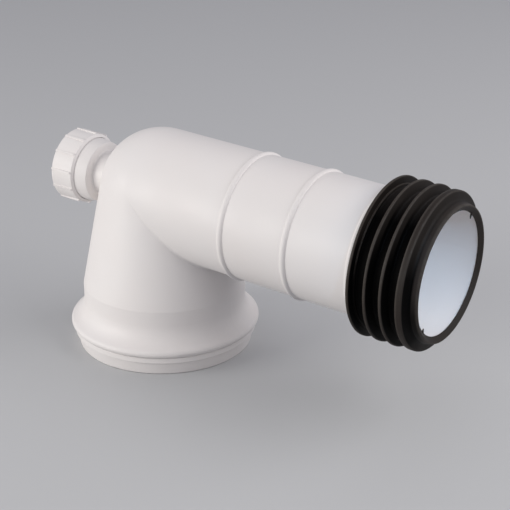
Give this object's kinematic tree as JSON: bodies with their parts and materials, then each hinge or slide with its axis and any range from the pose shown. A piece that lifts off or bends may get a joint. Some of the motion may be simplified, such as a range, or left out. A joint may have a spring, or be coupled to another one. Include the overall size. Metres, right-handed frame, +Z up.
{
  "type": "toilet pan connector",
  "caption": "White plastic right-angled toilet pan connector with a bell socket, a black finned rubber outlet seal and a vent boss closed by a ribbed nut.",
  "frame": {"origin": "centre of the pan socket's mouth, in the plane of the rim it stands on", "axes": "+Z up the leg's axis, +X towards the outlet, the vent boss on the -X side"},
  "size_m": [0.3216, 0.1408, 0.1652],
  "materials": {
    "white_plastic": "satin",
    "washer_plastic": "matte",
    "black_rubber": "matte"
  },
  "bodies": {
    "connector": {"connector_body": "white_plastic", "seal_retaining_ring": "white_plastic", "pan_seal": "black_rubber", "outlet_seal": "black_rubber", "boss_seal": "black_rubber"},
    "washer": {"boss_thrust_washer": "washer_plastic"},
    "nut": {"boss_nut": "white_plastic"}
  },
  "joints": [
    {"name": "nut_travel", "type": "slide", "parent": "connector", "child": "washer", "axis": [-0.999, 0, 0.0436], "range_m": [0, 0.012]},
    {"name": "nut_turn", "type": "hinge", "parent": "washer", "child": "nut", "pos_m": [-0.07293, 0, 0.12138], "axis": [-0.999, 0, 0.0436], "range_deg": [0, 1440]}
  ],
  "couplings": [
    {"joint": "nut_travel", "follows": "nut_turn", "m_per_rad": 0.00047746}
  ]
}
